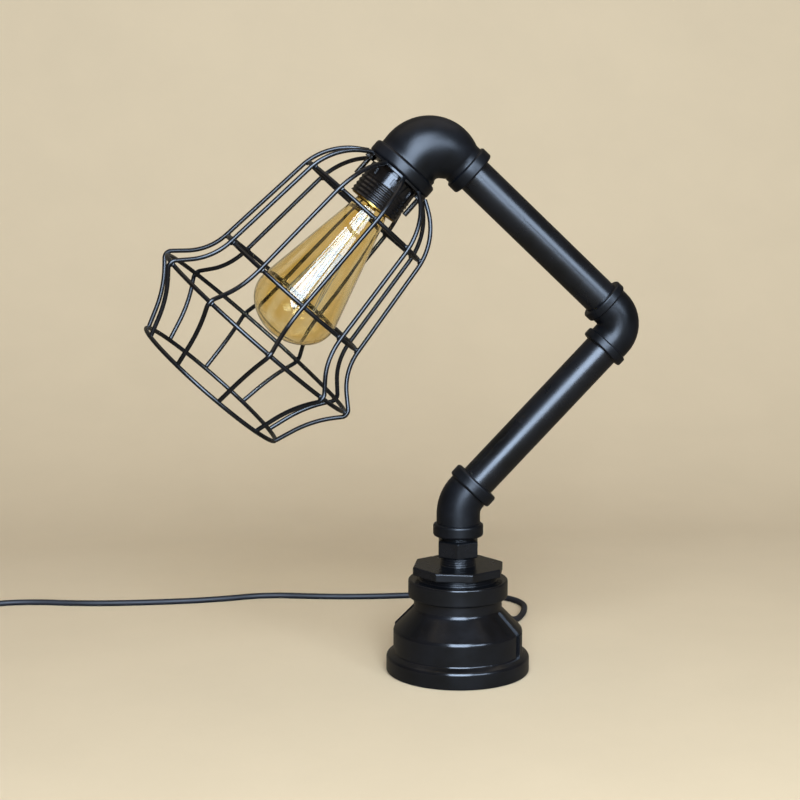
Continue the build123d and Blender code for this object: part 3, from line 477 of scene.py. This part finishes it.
class LAMP_OT_stage(bpy.types.Operator):
    """Set up the camera, the pale sweep, the two windows, the ceiling and the room's even light"""

    bl_idname = "lamp.stage"
    bl_label = "Set the stage"

    def execute(self, context):
        stage = context.scene.lamp_stage
        look = Vector(stage.camera_aim).normalized()
        right = look.cross(Vector((0, 0, 1))).normalized()
        turn = Matrix((right, right.cross(look), -look)).transposed().to_4x4()
        camera = add_object("camera", bpy.data.cameras.new("camera"))
        camera.data.lens = stage.camera_lens
        camera.data.sensor_width = 36.0
        camera.matrix_world = Matrix.Translation(stage.camera_place) @ turn
        context.scene.camera = camera
        context.scene.view_settings.view_transform = "Standard"
        self.lay_floor(stage)
        for column in PANE_COLUMNS:
            for row, height in PANE_ROWS:
                self.hang_light(f"window_{column + 1}_{height}", WINDOW_SPOT, (PANE_WIDTH, height),
                                stage.window_glow, DAYLIGHT, (PANE_SPACING * column, row))
        self.hang_light("side_window", SIDE_SPOT, SIDE_SIZE, stage.side_glow, DAYLIGHT)
        self.hang_light("ceiling", CEILING_SPOT, CEILING_SIZE, stage.ceiling_glow, WARM_WHITE)
        self.light_room(context, stage)
        return {"FINISHED"}

    def lay_floor(self, stage):
        """Sweep: flat up to the bend, a quarter circle, then a wall, carried straight across."""
        angle = np.linspace(0, np.pi / 2, SWEEP_BEND_STEPS + 1)
        depth = np.concatenate([
            [SWEEP_FRONT], SWEEP_BACK + SWEEP_BEND * np.sin(angle), [SWEEP_BACK + SWEEP_BEND]])
        height = np.concatenate([[0.0], SWEEP_BEND - SWEEP_BEND * np.cos(angle), [SWEEP_TOP]])
        across = np.linspace(-SWEEP_HALF_WIDTH, SWEEP_HALF_WIDTH, SWEEP_ACROSS_STEPS + 1)
        points = np.stack(np.broadcast_arrays(across[None, :], depth[:, None], height[:, None]), axis=-1)
        floor = grid_mesh("studio_sweep", points)
        # Matt paper: one pale colour with a faint fibre mottle.
        pale = Vector(stage.floor_colour)
        paper = surface("matt studio paper", pale * 0.97, pale, 120.0, (0.85, 0.95), 3.0, 0.05,
                        {"Specular IOR Level": 0.2})
        quieten(paper, stage.floor_bounce)
        self.open_sweep(paper)
        floor.data.materials.append(paper)

    def open_sweep(self, paper):
        """Fade the sweep's front and sides out to the camera, which looks through the wall from behind."""
        spot = add_node(paper, "ShaderNodeTexCoord").outputs["Object"]
        place = add_node(paper, "ShaderNodeSeparateXYZ", {"Vector": spot}).outputs
        aside = add_node(paper, "ShaderNodeMath", {0: place["X"]}, operation="ABSOLUTE").outputs["Value"]
        ahead = add_node(paper, "ShaderNodeMath", {0: place["Y"], 1: -FADE_FRONT}, operation="MULTIPLY")
        away = add_node(paper, "ShaderNodeMath", {0: aside, 1: ahead.outputs["Value"]}, operation="MAXIMUM")
        fade = add_node(paper, "ShaderNodeMapRange", {
            "Value": away.outputs["Value"], "From Min": FADE_START, "From Max": FADE_END},
            interpolation_type="SMOOTHSTEP").outputs["Result"]
        seen = add_node(paper, "ShaderNodeLightPath").outputs["Is Camera Ray"]
        faded = add_node(paper, "ShaderNodeMath", {0: fade, 1: seen}, operation="MULTIPLY").outputs["Value"]
        behind = add_node(paper, "ShaderNodeNewGeometry").outputs["Backfacing"]
        mask = add_node(paper, "ShaderNodeMath", {0: faded, 1: behind}, operation="MAXIMUM")
        see_through(paper, mask.outputs["Value"])

    def hang_light(self, name, spot, size, glow, tint, shift=(0, 0)):
        """Soft pane that faces the lamp from a spot, shifted right and up in its own plane.

        A pane of area A that glows at L takes 4 L A watts.
        """
        turn, rise, distance = math.radians(spot[0]), math.radians(spot[1]), spot[2]
        away = Vector((math.sin(turn) * math.cos(rise), -math.cos(turn) * math.cos(rise), math.sin(rise)))
        across = Vector((math.cos(turn), math.sin(turn), 0))
        light = bpy.data.lights.new(name, "AREA")
        light.shape = "RECTANGLE"
        light.size, light.size_y = size
        light.energy = 4 * glow * size[0] * size[1]
        light.color = linear(tint)
        up = away.cross(across)
        middle = LIT_POINT + away * distance + across * shift[0] + up * shift[1]
        made = add_object(name, light)
        made.matrix_world = Matrix.Translation(middle) @ Matrix((across, up, away)).transposed().to_4x4()
        made.visible_camera = False

    def light_room(self, context, stage):
        """Weak even light from all round, which the camera sees as pale as the sweep."""
        world = bpy.data.worlds.new("room")
        world.use_nodes = True
        backdrop = world.node_tree.nodes["Background"]
        backdrop.inputs["Color"].default_value = (*stage.floor_colour, 1.0)
        seen = add_node(world, "ShaderNodeLightPath").outputs["Is Camera Ray"]
        glow = add_node(world, "ShaderNodeMapRange", {
            "Value": seen, "To Min": stage.room_glow, "To Max": stage.backdrop_glow})
        wire(world, glow.outputs["Result"], backdrop.inputs["Strength"])
        context.scene.world = world


class LAMP_OT_cord(bpy.types.Operator):
    """Lay the flex from the strain relief to the switch, and the coil from the switch to the plug"""

    bl_idname = "lamp.cord"
    bl_label = "Lay the cord"

    def execute(self, context):
        cord = context.scene.lamp_cord
        # Soft PVC flex: smooth, nearly black, a dull even sheen with faint smudges.
        sheath = surface("black PVC flex", linear("17171A"), linear("232327"), 14.0, (0.42, 0.58), 0.6, 0.02)
        route = np.array(FLEX_ROUTE)
        turns, coil_end = coil_points()
        lead = np.array([(COIL_START[0], y, COIL_START[2]) for y in COIL_LEAD_YS])
        tail = coil_end + np.array(TAIL_RUNS)
        put_away = np.vstack([lead, turns, coil_end, tail])
        switch = [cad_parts[name] for name in (
            "switch_base", "switch_cover", "switch_rocker", "switch_pin", "switch_screws", "switch_contacts")]
        plug = [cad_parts["plug_body"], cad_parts["plug_pins"], bpy.data.objects["coil_tie"]]
        for name, points, nodes, length, far_end, lay, pieces in (
                ("flex_to_switch", route, ("cord_free",), 0.699, "fitting", "loose", switch),
                ("flex_to_plug", put_away, ("cord_coil", "cord_tail"), 1.077, "plug", "coiled", plug)):
            flex = flex_curve(name, points, cord.diameter)
            flex.data.materials.append(sheath)
            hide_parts(*nodes)
            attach(flex, "base")
        dress(sheath, "base_lead", "lower_lead", "upper_lead", "head_lead")
        return {"FINISHED"}


class LAMP_OT_tie(bpy.types.Operator):
    """Wrap the woven strip round the put-away coil"""

    bl_idname = "lamp.tie"
    bl_label = "Tie the coil"

    def execute(self, context):
        """Band: (w/2 C(s), (A + o) C(t), (B + o) S(t)), with o = h/2 S(s) and superellipse powers C and S."""
        cord = context.scene.lamp_cord
        low, high = (np.array(corner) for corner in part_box("cord_tie"))
        middle = (low + high) / 2
        half = (high - low) / 2 - cord.tie_thickness / 2
        around = np.linspace(0, 2 * np.pi, TIE_STEPS[0], endpoint=False)[:, None]
        across = np.linspace(0, 2 * np.pi, TIE_STEPS[1], endpoint=False)[None, :]
        offset = cord.tie_thickness / 2 * rounded(np.sin(across), TIE_EDGE_POWER)
        points = np.stack(np.broadcast_arrays(
            middle[0] + cord.tie_width / 2 * rounded(np.cos(across), TIE_WIDTH_POWER),
            middle[1] + (half[1] + offset) * rounded(np.cos(around), TIE_LOOP_POWER),
            middle[2] + (half[2] + offset) * rounded(np.sin(around), TIE_LOOP_POWER)), axis=-1)
        tie = grid_mesh("coil_tie", points, close_across=True, close_along=True)
        # Woven polyester strip: soft charcoal threads, matt, with the weave as small ridges.
        woven = surface("woven polyester strip", linear("1C1C1E"), linear("343438"), 0.9, (0.75, 0.9),
                        0.5, 0.12, {"Sheen Weight": 0.2})
        tie.data.materials.append(woven)
        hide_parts("cord_tie")
        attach(tie, "base")
        return {"FINISHED"}


class LAMP_OT_fittings(bpy.types.Operator):
    """Paint the cast fittings and the pipes, chip the foot and finish the grommet and the cover"""

    bl_idname = "lamp.fittings"
    bl_label = "Finish the fittings"

    def execute(self, context):
        finish = context.scene.lamp_finish
        paint, worn = finish.paint, finish.paint_worn
        # Satin paint on sand-cast iron: near black, broad soft highlights, a faint pebbled skin.
        cast = surface("satin black paint on cast iron", paint, worn, 26.0, (0.28, 0.4), 1.7, 0.035,
                       CAST_PAINT)
        # The foot's paint is laid on thicker: glossier, with bright iron where it has chipped at the floor.
        foot = surface("chipped black paint on cast iron", paint, worn, 26.0, (0.15, 0.25), 2.2, 0.025,
                       LACQUER)
        chip(foot, finish.bare_iron)
        # The same paint on drawn tube: straighter, cleaner highlights.
        drawn = surface("satin black paint on steel", paint, worn, 40.0, (0.22, 0.32), 0.9, 0.005, LACQUER)
        # The same paint on turned faces and cut threads: it rounds their edges off into thin bright lines.
        cut = surface("satin black paint on turned steel", paint, worn, 40.0, (0.2, 0.3), 1.2, 0.01, LACQUER,
                      edge_mm=1.0)
        # Moulded rubber: dull black with a dusty bloom.
        rubber = surface("moulded rubber", linear("151515"), linear("242423"), 6.0, (0.6, 0.75), 0.5, 0.02)
        # Pressed fibre board: dark brown, fibrous and quite matt.
        board = surface("pressed fibre board", linear("2A211A"), linear("43362A"), 3.0, (0.8, 0.95),
                        0.4, 0.08)
        dress(foot, "base_reducer")
        dress(cast, "lower_elbow", "middle_elbow")
        self.skin_head(context.scene.lamp_head).data.materials.append(cast)
        dress(drawn, "lower_pipe", "upper_pipe")
        dress(cut, "base_bushing", "riser_nipple")
        dress(rubber, "cable_grommet")
        dress(board, "base_cover")
        return {"FINISHED"}

    def skin_head(self, head):
        """Reducing elbow: circles of radius r about c, square to the heading, outside and back inside.

        In the turn, with s as the share of it, c = hub + spoke x stand, where
        stand = bend (1 + swell sin(pi s)) + out sin(pi s / 2) ** 2, and
        r = mouth - (mouth - neck) (1 - s) ** power. The inside is one wall smaller.
        """
        tangent = head.bend * math.tan(HEAD_TURN / 2)
        share = np.linspace(0, 1, HEAD_TURN_STEPS + 1)
        turn = HEAD_START - HEAD_TURN * share
        hub = HEAD_CORNER - head.bend * aim(HEAD_START + np.pi / 2) - tangent * aim(HEAD_START)
        stand = head.bend * (1 + head.swell * np.sin(np.pi * share))
        stand = stand + head.out * np.sin(np.pi * share / 2) ** 2
        body = head.mouth[0] - (head.mouth[0] - head.neck[0]) * (1 - share) ** head.widen_power
        near, near_r = banded_end(head.reach, tangent, *head.neck, head.band_round)
        far, far_r = banded_end(head.reach, tangent, *head.mouth, head.band_round)
        inner = np.concatenate([[body[-1]], body[::-1], [body[0]]]) - head.wall
        radius = np.concatenate([near_r, body[1:-1], far_r[::-1], inner])
        bend_centre = hub + stand[:, None] * aim(turn + np.pi / 2)
        small = HEAD_CORNER - aim(HEAD_START) * near[:, None]
        large = HEAD_CORNER + aim(turn[-1] + np.pi / 2) * head.out + aim(turn[-1]) * far[::-1, None]
        centre = np.concatenate([
            small, bend_centre[1:-1], large, large[-1:], bend_centre[::-1], small[:1]])
        heading = np.concatenate([
            np.full(len(small), turn[0]), turn[1:-1], np.full(len(large) + 1, turn[-1]), turn[::-1],
            turn[:1]])
        around = np.linspace(0, 2 * np.pi, HEAD_AROUND, endpoint=False)[None, :, None]
        ring = np.cos(around) * aim(heading + np.pi / 2)[:, None] + np.sin(around) * np.array((0, 1, 0))
        shell = grid_mesh("head_shell", centre[:, None] + radius[:, None, None] * ring, True, True)
        shell.data.set_sharp_from_angle(angle=HEAD_SMOOTH)
        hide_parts("head_elbow")
        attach(shell, "head")
        return shell


class LAMP_OT_cage(bpy.types.Operator):
    """Coat the wire cage, add its weld beads and finish the studs and nuts"""

    bl_idname = "lamp.cage"
    bl_label = "Finish the cage"

    def execute(self, context):
        finish = context.scene.lamp_finish
        # Baked enamel on drawn wire: glossy black that shows the window as a thin bright line.
        wire_coat = surface(
            "black enamel on wire", finish.paint, finish.paint_worn, 18.0, (0.2, 0.3), 1.2, 0.006, LACQUER)
        # Blackened steel screws: dark grey metal, brighter where it is rubbed.
        screw = surface("blackened steel", linear("4A4948"), linear("8C8A86"), 3.0, (0.18, 0.3), 0.4, 0.006,
                        METAL, edge_mm=0.3)
        dress(wire_coat, "cage_plate", *RIBS, *RINGS)
        dress(screw, "cage_studs", "cage_nuts")
        along = aim(HEAD_START - HEAD_TURN)
        side = np.cross((0, -1, 0), along)
        angle = RIB_FIRST_ANGLE + np.arange(RIB_COUNT)[:, None] * 2 * np.pi / RIB_COUNT
        outward = np.cos(angle) * side + np.sin(angle) * np.array((0, -1, 0))
        across = np.cross(along, outward)
        # The first three rings lie inside the ribs, so each touches them at its own outer radius.
        rings = np.array([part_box(name) for name in RINGS[:3]])
        middles, radii = rings.mean(axis=1), rings[:, 1, 1]
        centres = (middles[:, None] + radii[:, None, None] * outward).reshape(-1, 3)
        axes = np.stack([BEAD_FLATNESS * outward, across, np.broadcast_to(along, outward.shape)], axis=1)
        axes = finish.weld_bead * np.tile(axes, (len(rings), 1, 1))
        beads = bead_mesh("cage_welds", centres, axes, finish.weld_rings)
        beads.data.materials.append(wire_coat)
        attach(beads, "head")
        return {"FINISHED"}


class LAMP_OT_holder(bpy.types.Operator):
    """Finish the bakelite lampholder and its brass and porcelain insides"""

    bl_idname = "lamp.holder"
    bl_label = "Finish the lampholder"

    def execute(self, context):
        # Bakelite: hard glossy black-brown with clear highlights.
        bakelite = surface("bakelite", linear("0C0B0B"), linear("161312"), 9.0, (0.12, 0.2), 1.5, 0.006,
                           LACQUER, edge_mm=0.7)
        # Porcelain: warm white with a glassy glaze.
        porcelain = surface("glazed porcelain", linear("DAD5C8"), linear("EAE6DB"), 6.0, (0.1, 0.2),
                            1.0, 0.004)
        dress(bakelite, "holder_body", "holder_cap")
        dress(porcelain, "holder_insert")
        dress(brass(), "holder_shell", "holder_contact", "terminal_screws", "bulb_cap", "switch_contacts")
        return {"FINISHED"}


class LAMP_OT_bulb(bpy.types.Operator):
    """Tint the bulb's glass and finish its stem, supports and filament"""

    bl_idname = "lamp.bulb"
    bl_label = "Finish the bulb"

    def execute(self, context):
        finish = context.scene.lamp_finish
        # Drawn amber glass: see-through gold, deeper in streaks along it, with sharp window reflections.
        glass = surface("amber glass", finish.amber_deep, finish.amber, 10.0, (0.0, 0.02), 20.0, 0.01,
                        BULB_GLASS, (BULB_ANGLE, 7.0))
        # Clear lead glass: colourless, with bright edges.
        pale = Vector(linear("F4F4F0"))
        clear = surface("clear lead glass", pale * 0.97, pale, 8.0, (0.0, 0.04), 6.0, 0.02, LEAD_GLASS)
        for made, tint in ((glass, [math.sqrt(value) for value in finish.amber]), (clear, pale)):
            # Light goes on through the glass, tinted, in place of a solid shadow.
            see_through(made, add_node(made, "ShaderNodeLightPath").outputs["Is Shadow Ray"], tint)
        # Drawn tungsten and molybdenum: dull steel-grey wire.
        fine = surface("drawn tungsten", linear("59544E"), linear("8A857C"), 2.0, (0.35, 0.5), 0.3, 0.01,
                       METAL)
        # Black vitrite: opaque glass, glossy.
        vitrite = surface("black vitrite", linear("0B0A0C"), linear("1A171C"), 4.0, (0.1, 0.2), 1.0, 0.01)
        # Soft solder: bright grey metal with a slightly crystalline face.
        solder = surface("soft solder", linear("9A9A98"), linear("C4C3BE"), 1.5, (0.3, 0.5), 0.4, 0.03, METAL)
        dress(glass, "bulb_glass")
        dress(clear, "bulb_stem")
        dress(fine, "bulb_supports", "bulb_filament")
        dress(vitrite, "bulb_insulator")
        dress(solder, "bulb_contact")
        return {"FINISHED"}


class LAMP_OT_switch(bpy.types.Operator):
    """Finish the inline switch and the plug"""

    bl_idname = "lamp.switch"
    bl_label = "Finish the switch and plug"

    def execute(self, context):
        # Spark-eroded ABS: black with a fine even grain that keeps it satin.
        shell = surface("textured black ABS", linear("131315"), linear("1F1F22"), 10.0, (0.42, 0.55),
                        0.35, 0.02)
        # Polished ABS: the rocker is smoother from the fingers.
        polished = surface("polished black ABS", linear("0F0F10"), linear("1B1B1D"), 6.0, (0.16, 0.3),
                           0.8, 0.004)
        # Soft moulded PVC: dull black with a slight bloom.
        moulded = surface("moulded black PVC", linear("141416"), linear("232326"), 8.0, (0.45, 0.6),
                          0.6, 0.015)
        # Zinc-plated steel: cool grey with cloudy patches.
        zinc = surface("zinc-plated steel", linear("9C9EA0"), linear("C2C3C2"), 2.0, (0.25, 0.4), 0.4, 0.006,
                       METAL)
        # Nickel plate: warm bright grey, nearly a mirror.
        nickel = surface("nickel plate", linear("B5B0A6"), linear("CFCBC2"), 3.0, (0.15, 0.28), 0.5, 0.004,
                         METAL)
        dress(shell, "switch_base", "switch_cover")
        dress(polished, "switch_rocker")
        dress(moulded, "plug_body")
        dress(zinc, "switch_pin", "switch_screws")
        dress(nickel, "plug_pins")
        return {"FINISHED"}


class LAMP_PT_panel(bpy.types.Panel):
    """Settings and steps of the lamp"""

    bl_idname = "LAMP_PT_panel"
    bl_label = "Cage Table Lamp"
    bl_space_type = "VIEW_3D"
    bl_region_type = "UI"
    bl_category = "Lamp"

    def draw(self, context):
        for group in ("lamp_stage", "lamp_cord", "lamp_head", "lamp_finish"):
            settings = getattr(context.scene, group)
            for name in settings.__annotations__:
                self.layout.prop(settings, name)
        for step in STEPS:
            self.layout.operator(step.bl_idname)


STEPS = (
    LAMP_OT_stage, LAMP_OT_tie, LAMP_OT_cord, LAMP_OT_fittings, LAMP_OT_cage, LAMP_OT_holder, LAMP_OT_bulb,
    LAMP_OT_switch)
CLASSES = (LampStage, LampCord, LampHead, LampFinish, *STEPS, LAMP_PT_panel)


def register():
    """Register the classes and hang their settings on the scene."""
    for made in CLASSES:
        bpy.utils.register_class(made)
    bpy.types.Scene.lamp_stage = PointerProperty(type=LampStage)
    bpy.types.Scene.lamp_cord = PointerProperty(type=LampCord)
    bpy.types.Scene.lamp_head = PointerProperty(type=LampHead)
    bpy.types.Scene.lamp_finish = PointerProperty(type=LampFinish)


def unregister():
    """Take the settings and the classes away again."""
    for name in ("lamp_finish", "lamp_head", "lamp_cord", "lamp_stage"):
        delattr(bpy.types.Scene, name)
    for made in reversed(CLASSES):
        bpy.utils.unregister_class(made)


def main():
    """Dress the lamp."""
    register()
    bpy.ops.lamp.stage()
    bpy.ops.lamp.tie()
    bpy.ops.lamp.cord()
    bpy.ops.lamp.fittings()
    bpy.ops.lamp.cage()
    bpy.ops.lamp.holder()
    bpy.ops.lamp.bulb()
    bpy.ops.lamp.switch()


if __name__ == "__main__":
    main()
